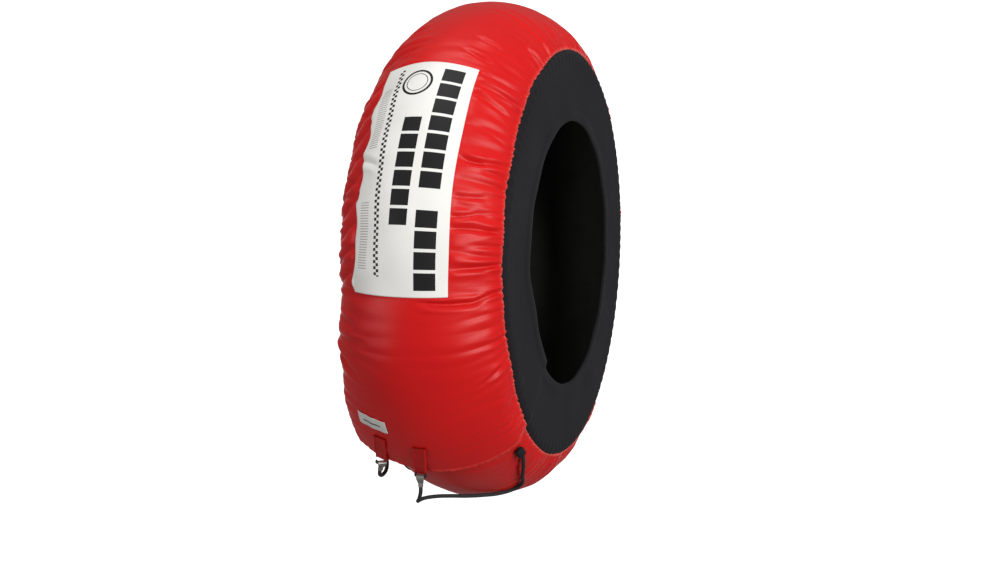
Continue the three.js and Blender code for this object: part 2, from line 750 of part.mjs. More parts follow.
// Gland of the power lead: a moulded flange outside the cover and a neck that reaches into the pocket
const glandProfile = [
  [0, -glandNeckLength], [glandNeck, -glandNeckLength], [glandNeck, 0], [glandFlange, 0],
  [glandFlange, glandRimHeight], [glandCrown, glandFlangeThickness], [glandDish, glandFlangeThickness],
  [glandDishFloor, glandDishHeight], [0, glandDishHeight],
].map(([diameter, height]) => new THREE.Vector2(diameter / 2, height));
const gland = new THREE.LatheGeometry(glandProfile, glandSides);
gland.rotateX(Math.PI / 2).applyMatrix4(glandFrame);
addPart("lead_gland", geometryOf(solidOf(gland)), finish.gland);

// Electric parts in the pocket, each flat on the facet of the padding below it
function inPocket(arc, angle, depth = partsDepth) {
  return onFacet(arc / halfWidth, angle, depth);
}

function alongWrap(length, arc) {
  return THREE.MathUtils.radToDeg(length / meridian(arc).radius);
}

// Places a shape whose Y axis runs round the wheel and whose Z axis looks outwards
function placeInPocket(geometry, arc, angle, depth) {
  const point = inPocket(arc, angle, depth);
  const round = inPocket(arc, angle + probeAngle, depth).sub(point).normalize();
  const side = inPocket(arc + probeArc, angle, depth).sub(point).normalize();
  const out = new THREE.Vector3().crossVectors(round, side).normalize();
  const across = new THREE.Vector3().crossVectors(round, out);
  return geometry.applyMatrix4(new THREE.Matrix4().makeBasis(across, round, out).setPosition(point));
}

const switchShape = new THREE.Shape();
[[1, 1], [-1, 1], [-1, -1], [1, -1]].forEach(([u, v], i) => {
  const [x, y] = [(u * switchWidth) / 2, (v * switchLength) / 2];
  const corner = [[x, y - v * switchCorner], [x - u * switchCorner, y]];
  const ordered = i % 2 === 0 ? corner : corner.reverse();
  if (i === 0) switchShape.moveTo(...ordered[0]);
  else switchShape.lineTo(...ordered[0]);
  switchShape.lineTo(...ordered[1]);
});
const switchCase = new THREE.ExtrudeGeometry(switchShape, { depth: switchHeight, bevelEnabled: false });
switchCase.translate(0, 0, -switchHeight / 2);
addPart("heat_switch", placeInPocket(switchCase, switchArc, switchAngle, partsDepth), finish.switchCase);

addPart("heat_cutout", placeInPocket(pin(cutoutDiameter, cutoutLength), switchArc, cutoutAngle, partsDepth),
  finish.switchCase);

const startArc = runLines[0] * halfWidth;
const spliceAngle = (arc) => terminalAngle - alongWrap(jointGap + spliceLength / 2, arc);
addPart("element_splice", placeInPocket(pin(spliceDiameter, spliceLength), startArc, spliceAngle(startArc),
  spliceDepth), finish.splice);
addPart("return_splice", placeInPocket(pin(spliceDiameter, spliceLength), returnArc, spliceAngle(returnArc),
  spliceDepth), finish.splice);

// Leads between them, each ending just short of the piece that it joins. Their slack bows are set out
// in lead diameters across the tread and in degrees round the wheel.
const neckSide = glandNeck / 2 + 3 * jointGap;
const switchEnd = alongWrap(switchLength / 2 + jointGap, switchArc);
const cutoutEnd = alongWrap(cutoutLength / 2 + jointGap, switchArc);
const spliceEnd = (arc) => spliceAngle(arc) - alongWrap(spliceLength / 2 + jointGap, arc);
const fromNeck = neckSide + leadDiameter / 2;
const leads = {
  supply_lead: [
    inPocket(glandArc + fromNeck, glandAngle),
    inPocket(switchArc - 4.5 * leadDiameter, glandAngle - 1),
    inPocket(switchArc - 1.4 * leadDiameter, glandAngle - 1.4),
    inPocket(switchArc, glandAngle - 0.6),
    inPocket(switchArc, switchAngle - switchEnd),
  ],
  return_lead: [
    inPocket(glandArc - fromNeck, glandAngle),
    inPocket(returnArc + 5 * leadDiameter, glandAngle + 1.4),
    inPocket(returnArc + 1.3 * leadDiameter, glandAngle + 6.4),
    inPocket(returnArc, glandAngle + 12.4, leadSink),
    inPocket(returnArc, spliceEnd(returnArc), spliceDepth),
  ],
  link_lead: [
    inPocket(switchArc, switchAngle + switchEnd),
    inPocket(switchArc, (switchAngle + cutoutAngle) / 2),
    inPocket(switchArc, cutoutAngle - cutoutEnd),
  ],
  cutout_lead: [
    inPocket(switchArc, cutoutAngle + cutoutEnd),
    inPocket(switchArc - 1.4 * leadDiameter, cutoutAngle + 3.2),
    inPocket((switchArc + startArc) / 2, cutoutAngle + 2.4),
    inPocket(startArc + 1.5 * leadDiameter, cutoutAngle + 2.8, leadSink),
    inPocket(startArc, spliceEnd(startArc), spliceDepth),
  ],
};
for (const [name, points] of Object.entries(leads)) {
  addPart(name, cord(points, leadDiameter, leadSides, leadSteps), finish.lead);
}

export default group;
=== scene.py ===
import json
import math

import bmesh
import bpy
import numpy as np
from mathutils import Matrix, Vector


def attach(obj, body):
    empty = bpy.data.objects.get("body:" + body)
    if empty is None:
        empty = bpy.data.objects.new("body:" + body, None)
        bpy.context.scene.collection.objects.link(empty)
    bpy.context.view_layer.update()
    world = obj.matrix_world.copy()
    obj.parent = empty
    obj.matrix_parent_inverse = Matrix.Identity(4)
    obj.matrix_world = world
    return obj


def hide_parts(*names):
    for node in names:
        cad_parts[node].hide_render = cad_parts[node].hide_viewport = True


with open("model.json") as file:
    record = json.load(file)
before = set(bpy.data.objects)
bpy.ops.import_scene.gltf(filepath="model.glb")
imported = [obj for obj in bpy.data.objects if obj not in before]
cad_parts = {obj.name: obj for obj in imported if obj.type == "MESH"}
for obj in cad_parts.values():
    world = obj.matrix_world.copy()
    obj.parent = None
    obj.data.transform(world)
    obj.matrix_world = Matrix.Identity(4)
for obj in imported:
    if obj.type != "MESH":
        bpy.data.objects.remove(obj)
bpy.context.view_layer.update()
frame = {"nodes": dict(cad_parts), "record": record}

# Camera: on a low tripod in front of the warmer and a little to its right. The warmer stands upright in
# its worn shape, so the camera looks at its front face and into its right side.
camera = bpy.data.objects.new("camera", bpy.data.cameras.new("camera"))
bpy.context.scene.collection.objects.link(camera)
camera.data.sensor_width = 36
camera.data.lens = 50.9
camera.data.clip_end = 30
camera.matrix_world = Matrix((
    (0.94261, -0.04343, 0.33107, 0.63872),
    (0.33391, 0.12147, -0.93475, -1.78741),
    (0.00038, 0.99164, 0.12900, 0.20392),
    (0, 0, 0, 1),
))
bpy.context.scene.camera = camera

# Bungees: black braided elastic cord, 5 mm thick. Each is clamped in its hook's socket, passes below
# the flap and is sewn into an anchor sleeve beside the seam. The slack one hangs under the belly.
cord_diameter = 0.005
bungee_routes = {
    "right": [
        (-0.0145, -0.2333, -0.2683), (-0.0145, -0.2333, -0.2732), (-0.0152, -0.2327, -0.2772),
        (-0.0193, -0.2286, -0.2868), (-0.0244, -0.2175, -0.2910), (-0.0222, -0.2044, -0.2913),
        (-0.0127, -0.1894, -0.2921), (0.0, -0.1719, -0.2950), (0.0141, -0.1511, -0.2994),
        (0.0297, -0.1309, -0.3023), (0.0452, -0.1132, -0.3032), (0.0596, -0.1041, -0.2993),
        (0.0702, -0.1053, -0.2924), (0.0771, -0.1138, -0.2842), (0.0812, -0.1280, -0.2748),
        (0.0865, -0.1412, -0.2648), (0.0932, -0.1601, -0.2419), (0.0939, -0.1638, -0.2378),
        (0.0942, -0.1678, -0.2348),
    ],
    "left": [
        (-0.0753, -0.2181, -0.2556), (-0.0771, -0.2160, -0.2593), (-0.0790, -0.2109, -0.2646),
        (-0.0795, -0.2018, -0.2670), (-0.0792, -0.1905, -0.2619), (-0.0813, -0.1852, -0.2483),
        (-0.0847, -0.1806, -0.2396), (-0.0885, -0.1776, -0.2356),
    ],
}


def surface(name, colour, roughness, **sockets):
    """A new material with its shader, and constant values straight on the shader's sockets."""
    made = bpy.data.materials.new(name)
    made.use_nodes = True
    shader = made.node_tree.nodes["Principled BSDF"]
    shader.inputs["Base Color"].default_value = (*colour, 1)
    shader.inputs["Roughness"].default_value = roughness
    for socket, value in sockets.items():
        shader.inputs[socket.replace("_", " ").title()].default_value = value
    return made, shader


def node(material, kind, inputs=(), **settings):
    """A node of that kind, with its settings, constant inputs and links."""
    tree = material.node_tree
    made = tree.nodes.new(kind)
    for setting, value in settings.items():
        setattr(made, setting, value)
    for socket, value in dict(inputs).items():
        if isinstance(value, bpy.types.NodeSocket):
            tree.links.new(value, made.inputs[socket])
        else:
            made.inputs[socket].default_value = value
    return made


braid, braid_shader = surface("braided_elastic", (0.012, 0.012, 0.013), 0.75)
place = node(braid, "ShaderNodeTexCoord").outputs["Object"]
threads = node(braid, "ShaderNodeTexVoronoi", {"Vector": place, "Scale": 900})
braid_bump = node(braid, "ShaderNodeBump", {
    "Strength": 0.6, "Distance": 0.0004, "Height": threads.outputs["Distance"]})
worn = node(braid, "ShaderNodeTexNoise", {"Vector": place, "Scale": 160, "Detail": 4})
braid_tones = node(braid, "ShaderNodeMix", {
    "Factor": worn.outputs["Fac"], "A": (0.006, 0.006, 0.007, 1), "B": (0.028, 0.028, 0.03, 1),
}, data_type="RGBA")
braid.node_tree.links.new(braid_tones.outputs["Result"], braid_shader.inputs["Base Color"])
braid.node_tree.links.new(braid_bump.outputs["Normal"], braid_shader.inputs["Normal"])

for side, route in bungee_routes.items():
    line = bpy.data.curves.new(f"bungee_{side}_cord", "CURVE")
    line.dimensions = "3D"
    line.bevel_depth = cord_diameter / 2
    line.bevel_resolution = 5
    line.resolution_u = 8
    line.use_fill_caps = True
    spline = line.splines.new("BEZIER")
    spline.bezier_points.add(len(route) - 1)
    for knot, where in zip(spline.bezier_points, route):
        knot.co = where
        knot.handle_left_type = knot.handle_right_type = "AUTO"
    line.materials.append(braid)
    bungee = bpy.data.objects.new(f"bungee_{side}_cord", line)
    bpy.context.scene.collection.objects.link(bungee)
    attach(bungee, "root")
    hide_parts(f"bungee_{side}")

# Outer cover: red woven nylon, cut as one long strip that goes a little more than once round. Both long
# edges are gathered onto the stretch side panels, which draws the cloth into fine puckers and longer
# folds. Its outer end is the closing flap, which lies over the tucked inner end.
wrap_radius = 0.329
crown_bend, shoulder_bend, side_bend = 0.118, 0.052, 0.040
crown_end, shoulder_end, side_end = (math.radians(turn) for turn in (50, 78, 90.5))
section_bends = ((crown_bend, crown_end), (shoulder_bend, shoulder_end), (side_bend, side_end))
half_width = crown_bend * crown_end + shoulder_bend * (shoulder_end - crown_end)
tongue_half_width = 0.099
tuck_angle, flap_angle = 114.0, 495.6
rise_angle, curl_angle = 450, 468
flap_rise, corner_curl, panel_rise = 0.012, 0.015, 0.0054


def ease(value):
    """Slow start and slow end between 0 and 1."""
    value = np.clip(value, 0, 1)
    return value * value * (3 - 2 * value)


def section(arc):
    """Place, radius and slope of the cover's section, that far across the cloth from its crown."""
    left = np.abs(arc)
    across, radius, slope = 0.0, wrap_radius, 0.0
    for bend, end in section_bends:
        reached = np.minimum(slope + left / bend, end)
        across = across + bend * (np.sin(reached) - np.sin(slope))
        radius = radius + bend * (np.cos(reached) - np.cos(slope))
        left = left - bend * (reached - slope)
        slope = reached
    side = np.where(arc < 0, -1.0, 1.0)
    return side * (across + left * np.cos(slope)), radius - left * np.sin(slope), side * slope


opening_radius = 0.1739
turn_arc = side_bend * (side_end - shoulder_end)
panel_arc = turn_arc + float(section(np.array([half_width + turn_arc]))[1][0]) - opening_radius


def lift(arc, angle):
    """How far the flap stands off the round, over the tucked end and at its curled left corner."""
    spread = np.abs(arc)
    rise = ease((angle - rise_angle) / 22)
    outside = ease((spread - tongue_half_width) / (half_width - tongue_half_width))
    curl = ease((angle - curl_angle) / (flap_angle - curl_angle))
    curl = curl * ease((-arc - 0.025) / (half_width - 0.025))
    on_panel = np.maximum(spread - half_width, 0) / panel_arc
    on_cloth = flap_rise * rise * (1 - 0.63 * outside) + corner_curl * curl
    return on_cloth * (1 - on_panel) + panel_rise * rise * on_panel


def wrapped(arc, angle, out=0.0):
    """Points that far across the cloth, at that angle round the centre and that far off the cloth."""
    arc, angle = np.asarray(arc, float), np.asarray(angle, float)
    across, radius, slope = section(arc)
    turn = np.radians(angle)
    off = lift(arc, angle) + out
    return np.stack([
        across + np.sin(slope) * off,
        -(radius + np.cos(slope) * off) * np.sin(turn),
        (radius + np.cos(slope) * off) * np.cos(turn),
    ], axis=-1)


def cloth_half_width(angle):
    """Half the cloth's width: the tucked end is a narrower tongue."""
    return tongue_half_width + (half_width - tongue_half_width) * ease((angle - 127) / 5)


label_left, label_right, label_top, label_bottom = -0.065, 0.057, 401.8, 453.6
pucker_pitch = 0.0068


def crease(along, middle, width, depth):
    """A sharp valley with a rounded ridge on each side, across the distance along."""
    x = (along - middle) / width
    ridges = np.exp(-((np.abs(x) - 2.1) / 1.25) ** 2)
    return depth * (0.5 * ridges - np.exp(-np.abs(x) ** 1.4))


def gathers(arc, angle):
    """Height of the cloth's puckers and folds above the smooth wrap, in metres."""
    chance = np.random.default_rng(11)
    spread = np.abs(arc)
    along = np.radians(angle) * wrap_radius
    turned = (angle - tuck_angle) % 360 + tuck_angle
    inward = np.maximum(cloth_half_width(angle) - spread, 0)
    right = arc > 0

    # Padding that swells a little under the cloth
    height = 0.0011 * np.sin(along * 23 + 1.3 * np.sin(arc * 31)) * np.sin(arc * 27 + along * 9)
    height += 0.0007 * np.sin(along * 61 + arc * 40) * ease(spread / 0.05)

    # Fine puckers along both seams, a pitch apart, with narrow valleys, and every second one longer
    drift = 0.9 * np.sin(along * 37) + 0.7 * np.sin(along * 91 + 2) + np.where(right, 0, 2.2)
    phase = along / pucker_pitch * math.pi + drift
    beads = np.abs(np.sin(phase)) ** 0.7 - 0.55
    uneven = 0.65 + 0.35 * np.sin(along * 71 + np.where(right, 0.4, 1.9)) * np.sin(along * 29)
    far_side = 1 + 0.7 * right * ease((turned - 280) / 20) * ease((372 - turned) / 20)
    height += 0.0021 * far_side * uneven * beads * np.exp(-inward / 0.009)
    phase = along / (2 * pucker_pitch) * math.pi + 1.4 * drift
    height += 0.0019 * uneven * (np.abs(np.sin(phase)) ** 0.7 - 0.6) * np.exp(-inward / 0.024)

    # Longer folds, each from its seam towards the crown, leaning a little
    for flank in (-1, 1):
        here = (arc * flank > 0) | (spread < 0.03)
        depth_in = half_width - arc * flank
        start = np.radians(tuck_angle) * wrap_radius
        end = np.radians(flap_angle) * wrap_radius
        while start < end:
            start += chance.uniform(0.008, 0.019)
            reach = chance.uniform(0.028, 0.105)
            lean = chance.normal(0.0, 0.16)
            wave = chance.uniform(-0.003, 0.003)
            width = chance.uniform(0.0021, 0.0042)
            depth = chance.uniform(0.0006, 0.0019)
            near = here & (np.abs(along - start) < 0.06)
            if not near.any():
                continue
            inner = depth_in[near]
            middle = start + lean * inner + wave * np.sin(inner * 60)
            fade = np.exp(-(inner / reach) ** 2) * (1 - 0.5 * np.exp(-inner / 0.01))
            height[near] += crease(along[near], middle, width * (1 + 6 * inner), depth * fade)

    # Single folds that stand out on the front: where each starts and ends, its width and its depth
    for start_arc, start_angle, end_arc, end_angle, bow, width, depth in (
        (0.024, 94.6, 0.086, 95.2, 0.3, 0.0032, 0.0034),
        (0.084, 95.4, 0.127, 93.8, -0.4, 0.0030, 0.0034),
        (0.058, 88.0, 0.121, 87.0, 0.2, 0.0034, 0.0026),
        (0.058, 79.5, 0.120, 79.4, -0.3, 0.0034, 0.0030),
        (0.058, 77.0, 0.088, 76.0, 0.2, 0.0028, 0.0022),
        (0.059, 72.6, 0.096, 72.0, 0.2, 0.0030, 0.0018),
        (0.078, 114.4, 0.124, 111.2, -0.5, 0.0030, 0.0028),
        (0.054, 42.2, 0.116, 41.2, 0.4, 0.0034, 0.0030),
        (0.057, 45.8, 0.120, 45.2, 0.3, 0.0034, 0.0030),
        (0.055, 48.2, 0.106, 50.2, 0.2, 0.0034, 0.0024),
        (0.058, 63.8, 0.090, 64.6, 0.2, 0.0034, 0.0026),
        (0.060, 64.9, 0.122, 62.8, 0.3, 0.0032, 0.0022),
        (0.030, 36.6, 0.066, 38.2, 0.3, 0.0032, 0.0026),
        (0.038, 31.3, 0.072, 32.7, 0.2, 0.0030, 0.0022),
        (0.094, 25.9, 0.126, 24.8, 0.1, 0.0026, 0.0028),
        (0.105, 17.4, 0.125, 17.9, 0.1, 0.0024, 0.0024),
        (-0.118, 22.6, -0.040, 26.6, 0.3, 0.0042, 0.0026),
        (-0.112, 30.0, -0.022, 33.6, 0.3, 0.0042, 0.0028),
        (-0.110, 35.0, -0.032, 35.6, 0.4, 0.0040, 0.0026),
        (-0.122, 108.6, -0.060, 112.6, 0.4, 0.0046, 0.0030),
        (-0.122, 105.2, -0.050, 104.0, 0.4, 0.0044, 0.0024),
        (-0.124, 117.8, -0.044, 118.4, 0.6, 0.0046, 0.0026),
        (-0.124, 99.6, -0.066, 100.6, 0.3, 0.0040, 0.0024),
        (-0.120, 124.6, -0.070, 121.4, 0.3, 0.0040, 0.0018),
    ):
        share = (arc - start_arc) / (end_arc - start_arc)
        near = (share > -0.15) & (share < 1.15)
        near = near & (np.abs(turned - 360 - (start_angle + end_angle) / 2) < 9)
        part = share[near]
        middle = start_angle + (end_angle - start_angle) * part + bow * np.sin(math.pi * part)
        fade = ease((part + 0.12) / 0.3) * ease((1.12 - part) / 0.3)
        off = np.radians(turned[near] - 360 - middle) * wrap_radius
        height[near] += crease(off, 0, width, depth * fade)

    # Rope-like folds on the left flank, beside the label
    beside = ease((-arc - 0.058) / 0.012) * ease((turned - 399) / 6) * ease((458 - turned) / 7)
    twist = (along - 0.62 * (spread - 0.065)) / 0.031 * math.pi + 0.5 * np.sin(along * 17)
    height += 0.0042 * beside * (np.abs(np.sin(twist)) ** 0.6 - 0.72)

    # The cloth lies smooth under the label, the strips and the flap's end
    labelled = ease((arc - label_left + 0.004) / 0.004) * ease((label_right + 0.004 - arc) / 0.004)
    labelled *= ease((turned - label_top + 0.6) / 0.6) * ease((label_bottom + 0.6 - turned) / 0.6)
    tongue = 1 - ease((angle - (flap_angle - 360)) / 7)
    flap_end = ease((angle - curl_angle) / 12) * (1 - ease((spread - 0.085) / 0.03))
    return height * (1 - labelled) * (1 - tongue) * (1 - 0.8 * flap_end)


def label_ripple(arc, angle):
    """Slow ripples that the label and the cloth below it share, stronger towards its left edge."""
    along = np.radians(angle) * wrap_radius
    left = ease((0.02 - arc) / 0.085)
    top = ease((angle - label_top + 2) / 2) * ease((label_bottom + 2 - angle) / 2)
    sides = ease((arc - label_left + 0.01) / 0.01) * ease((label_right + 0.01 - arc) / 0.01)
    waves = 0.0011 * np.sin(along * 92 + arc * 45) * left ** 2 + 0.0004 * np.sin(along * 33 - arc * 70)
    dent = crease(along, np.radians(425.3) * wrap_radius + (arc - label_left) * 0.35, 0.004, 0.0016)
    return top * sides * (waves + dent * ease((-0.03 - arc) / 0.02))


def cover_height(arc, angle):
    """Height of the cover's own face above the smooth wrap."""
    return gathers(arc, angle) + label_ripple(arc, angle)


def show(name, mesh, material):
    """A new object at the origin for that mesh."""
    made = bpy.data.objects.new(name, mesh)
    bpy.context.scene.collection.objects.link(made)
    mesh.materials.append(material)
    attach(made, "root")
    return made


def skin(name, columns, rows, shape, material, closed=False, thickness=0, offset=0):
    """A grid whose corners lie where shape(u, v) puts them, u and v from -1 to 1.

    shape gives the corners' places, their places on the flat cloth in metres for a UV map, and the
    values of named attributes, if there are any. closed joins the first row to the last and caps both
    ends, which makes a tube. With an offset, the thickness goes to one side of the grid as it is wound."""
    made = bmesh.new()
    bmesh.ops.create_grid(made, x_segments=columns, y_segments=rows, size=1)
    flat = np.array([point.co[:2] for point in made.verts])
    points, spread, *marks = shape(flat[:, 0], flat[:, 1])
    layer = made.loops.layers.uv.new("cloth")
    for point, where in zip(made.verts, points):
        point.co = where
    for face in made.faces:
        face.smooth = True
        for corner in face.loops:
            corner[layer].uv = spread[corner.vert.index]
    if closed:
        bmesh.ops.remove_doubles(made, verts=made.verts, dist=1e-6)
        bmesh.ops.holes_fill(made, edges=made.edges)
    if not offset:
        bmesh.ops.recalc_face_normals(made, faces=made.faces)
    mesh = bpy.data.meshes.new(name)
    made.to_mesh(mesh)
    made.free()
    for mark, values in marks[0].items() if marks else ():
        mesh.attributes.new(mark, "FLOAT", "POINT").data.foreach_set("value", values.astype(np.float32))
    piece = show(name, mesh, material)
    if thickness:
        solid = piece.modifiers.new("cloth", "SOLIDIFY")
        solid.thickness = thickness
        solid.offset = offset
    return piece


cover_rows, cover_columns = 1340, 66


def cover_shape(u, v):
    """The cover's corners, closer together near the seams, where the puckers are."""
    angle = tuck_angle + (flap_angle - tuck_angle) * (v + 1) / 2
    arc = (0.55 * u + 0.45 * np.sin(u * math.pi / 2)) * cloth_half_width(angle)
    along = np.radians(angle) * wrap_radius
    # The last columns roll over the seam allowance and turn under
    columns_in = (1 - np.abs(u)) * cover_columns / 2
    roll = np.exp(-((columns_in - 1.2) / 0.9) ** 2)
    height = np.where(columns_in < 0.5, -0.0032, cover_height(arc, angle) + 0.0010 * roll)
    # The mark for the rolled ridge at each seam is a painted highlight: a band that flickers along the
    # puckers
    marks = {
        "seam_near": np.exp(-(half_width - np.abs(arc)) / 0.03),
        "seam_edge": np.exp(-((columns_in - 1.0) / 0.8) ** 2) * (0.6 + 0.4 * np.sin(along * 950)),
    }
    return wrapped(arc, angle, height), np.stack([arc, along], axis=-1), marks


nylon, nylon_shader = surface(
    "red_nylon", (0.60, 0.012, 0.009), 0.40, sheen_weight=0.03, sheen_roughness=0.35)
nylon_shader.inputs["Sheen Tint"].default_value = (1, 0.35, 0.22, 1)
nylon_shader.inputs["Specular IOR Level"].default_value = 0.22
cloth_place = node(nylon, "ShaderNodeUVMap", uv_map="cloth").outputs["UV"]
stretched = node(nylon, "ShaderNodeMapping", {"Vector": cloth_place, "Scale": (14, 150, 1)})
crinkles = node(nylon, "ShaderNodeTexNoise", {
    "Vector": stretched.outputs["Vector"], "Scale": 1, "Detail": 6, "Roughness": 0.62})
near_seam = node(nylon, "ShaderNodeAttribute", attribute_name="seam_near")
crinkle_strength = node(nylon, "ShaderNodeMapRange", {
    "Value": near_seam.outputs["Fac"], "To Min": 0.25, "To Max": 1.0})
crinkle_height = node(nylon, "ShaderNodeMath", {
    0: crinkles.outputs["Fac"], 1: crinkle_strength.outputs["Result"]}, operation="MULTIPLY")
crinkle_bump = node(nylon, "ShaderNodeBump", {
    "Strength": 0.55, "Distance": 0.0012, "Height": crinkle_height.outputs["Value"]})
warp = node(nylon, "ShaderNodeMapping", {"Vector": cloth_place, "Scale": (2600, 2600, 1)})
weave = node(nylon, "ShaderNodeTexVoronoi", {
    "Vector": warp.outputs["Vector"], "Scale": 1}, distance="CHEBYCHEV")
weave_bump = node(nylon, "ShaderNodeBump", {
    "Strength": 0.12, "Distance": 0.0002, "Height": weave.outputs["Distance"],
    "Normal": crinkle_bump.outputs["Normal"]})
patches = node(nylon, "ShaderNodeTexNoise", {
    "Vector": node(nylon, "ShaderNodeTexCoord").outputs["Object"], "Scale": 7, "Detail": 3})
nylon_tones = node(nylon, "ShaderNodeMix", {
    "Factor": patches.outputs["Fac"], "A": (0.56, 0.004, 0.008, 1), "B": (0.72, 0.014, 0.010, 1),
}, data_type="RGBA")
# Painted highlight: the base colour turns lighter orange along the rolled ridge of each seam
seam_highlight_share = node(nylon, "ShaderNodeAttribute", attribute_name="seam_edge")
with_seam_highlight = node(nylon, "ShaderNodeMix", {
    "Factor": seam_highlight_share.outputs["Fac"], "A": nylon_tones.outputs["Result"], "B": (0.80, 0.16, 0.13, 1),
}, data_type="RGBA")
nylon.node_tree.links.new(with_seam_highlight.outputs["Result"], nylon_shader.inputs["Base Color"])
nylon.node_tree.links.new(weave_bump.outputs["Normal"], nylon_shader.inputs["Normal"])
cover = skin("cover_cloth", cover_columns, cover_rows, cover_shape, nylon)
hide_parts("outer_cover")

# Side panels: charcoal foam rubber with a knitted face, stretched from the gathered seam to the round
# opening. The opening's edge is folded back and stitched, and its elastic pull keeps the warmer on.
panel_start = 129
foam, foam_shader = surface(
    "knit_faced_foam", (0.014, 0.016, 0.019), 0.9, sheen_weight=0.03, sheen_roughness=0.5)
foam_shader.inputs["Specular IOR Level"].default_value = 0.10
panel_place = node(foam, "ShaderNodeUVMap", uv_map="cloth").outputs["UV"]
ribs = node(foam, "ShaderNodeMapping", {"Vector": panel_place, "Scale": (1500, 1500, 1)})
knit = node(foam, "ShaderNodeTexVoronoi", {"Vector": ribs.outputs["Vector"], "Scale": 1})
knit_bump = node(foam, "ShaderNodeBump", {
    "Strength": 0.35, "Distance": 0.0004, "Height": knit.outputs["Distance"]})
faded = node(foam, "ShaderNodeTexNoise", {
    "Vector": node(foam, "ShaderNodeTexCoord").outputs["Object"], "Scale": 9, "Detail": 5})
foam_tones = node(foam, "ShaderNodeMix", {
    "Factor": faded.outputs["Fac"], "A": (0.009, 0.009, 0.011, 1), "B": (0.019, 0.018, 0.021, 1),
}, data_type="RGBA")
foam.node_tree.links.new(foam_tones.outputs["Result"], foam_shader.inputs["Base Color"])
foam.node_tree.links.new(knit_bump.outputs["Normal"], foam_shader.inputs["Normal"])
for side, name in ((1, "right"), (-1, "left")):
    def panel_shape(u, v):
        share = (u + 1) / 2
        angle = panel_start + (flap_angle - panel_start) * (v + 1) / 2
        place = -0.0004 + (panel_arc + 0.0004) * share
        along = np.radians(angle) * wrap_radius
        height = 0.0006 * np.sin(along * 330 + 0.9 * np.sin(along * 37)) * np.exp(-place / 0.010)
        height += 0.0009 * np.sin(along * 11 + side) * np.sin(share * 3.1)
        height += 0.0004 * np.sin(along * 43) * share
        # The folded hem, its row of stitches, and the edge that is tucked in at the seam
        height += 0.0011 * ease((place - panel_arc + 0.0145) / 0.0012)
        height -= 0.0005 * np.exp(-((place - panel_arc + 0.0125) / 0.0011) ** 2)
        height -= 0.0030 * np.exp(-np.maximum(place, 0) / 0.0016)
        return wrapped(side * (half_width + place), angle, height), np.stack([place, along], axis=-1)
    panel = skin(f"panel_{name}", 30, 620, panel_shape, foam, thickness=0.0034, offset=-1)
    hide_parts(f"side_panel_{name}")

# Front label: a large patch of off-white coated cloth, sewn flat on the front of the cover. It is printed
# in black with a chequered strip, plain blocks, a ring and fine lines, and is wavy along its left edge.
label_off = 0.0009


def label_shape(u, v):
    angle = label_top + (label_bottom - label_top) * (v + 1) / 2
    along = np.radians(angle) * wrap_radius
    left = label_left + 0.0022 * np.sin(along * 118) + 0.0016 * np.sin(along * 57 + 1)
    right = label_right + 0.0006 * np.sin(along * 40)
    arc = left + (right - left) * (u + 1) / 2
    up = np.radians(label_bottom) * wrap_radius - along
    return wrapped(arc, angle, cover_height(arc, angle) + label_off), np.stack([arc, up], axis=-1)


coated, coated_shader = surface("printed_label", (0.86, 0.85, 0.81), 0.55)
coated_shader.inputs["Specular IOR Level"].default_value = 0.25
printed = node(coated, "ShaderNodeUVMap", uv_map="cloth").outputs["UV"]
leaned = node(coated, "ShaderNodeMapping", {
    "Vector": printed, "Location": (0.0285, 0, 0), "Rotation": (0, 0, math.radians(-1.9))})
chequer = node(coated, "ShaderNodeTexChecker", {
    "Vector": leaned.outputs["Vector"], "Scale": 1 / 0.0035, "Color1": (0, 0, 0, 1), "Color2": (1, 1, 1, 1)})
spots = node(coated, "ShaderNodeSeparateXYZ", {"Vector": leaned.outputs["Vector"]})
straight = node(coated, "ShaderNodeSeparateXYZ", {"Vector": printed})


def both(first, second, operation="MULTIPLY"):
    """One sum of two values in the label's material."""
    return node(coated, "ShaderNodeMath", {0: first, 1: second}, operation=operation).outputs[0]


def between(value, low, high):
    """1 where value lies between low and high, and 0 elsewhere."""
    return both(both(value, low, "GREATER_THAN"), both(value, high, "LESS_THAN"))


dark_cell = both(1.0, chequer.outputs["Fac"], "SUBTRACT")
strip = both(between(spots.outputs["X"], -0.0035, 0.0035), between(straight.outputs["Y"], 0.022, 0.289))
ink = both(strip, dark_cell)
# Plain blocks in two columns, a ring, and fine even lines down the left edge
for low_arc, high_arc, low_y, high_y, pitch, share in (
    (0.018, 0.043, 0.008, 0.103, 0.024, 0.84), (0.018, 0.043, 0.126, 0.289, 0.0235, 0.84),
    (-0.014, 0.008, 0.082, 0.217, 0.0225, 0.84), (-0.057, -0.044, 0.030, 0.110, 0.0031, 0.34),
    (-0.057, -0.044, 0.176, 0.262, 0.0031, 0.34),
):
    bar = both(between(straight.outputs["X"], low_arc, high_arc),
               between(straight.outputs["Y"], low_y, high_y))
    step = both(both(both(straight.outputs["Y"], low_y, "SUBTRACT"), pitch, "DIVIDE"), 1.0, "MODULO")
    bar = both(bar, both(step, share, "LESS_THAN"))
    ink = both(ink, both(bar, 0.55 if pitch < 0.01 else 1.0), "MAXIMUM")
ring_across = both(both(straight.outputs["X"], 0.011, "ADD"), 2.0, "POWER")
ring_along = both(both(straight.outputs["Y"], 0.264, "SUBTRACT"), 2.0, "POWER")
ring = both(both(ring_across, ring_along, "ADD"), 0.5, "POWER")
ink = both(ink, both(between(ring, 0.0165, 0.0195), between(ring, 0.0125, 0.0135), "MAXIMUM"), "MAXIMUM")
print_wear = node(coated, "ShaderNodeTexNoise", {"Vector": printed, "Scale": 900, "Detail": 3})
grime = node(coated, "ShaderNodeTexNoise", {"Vector": printed, "Scale": 28, "Detail": 5})
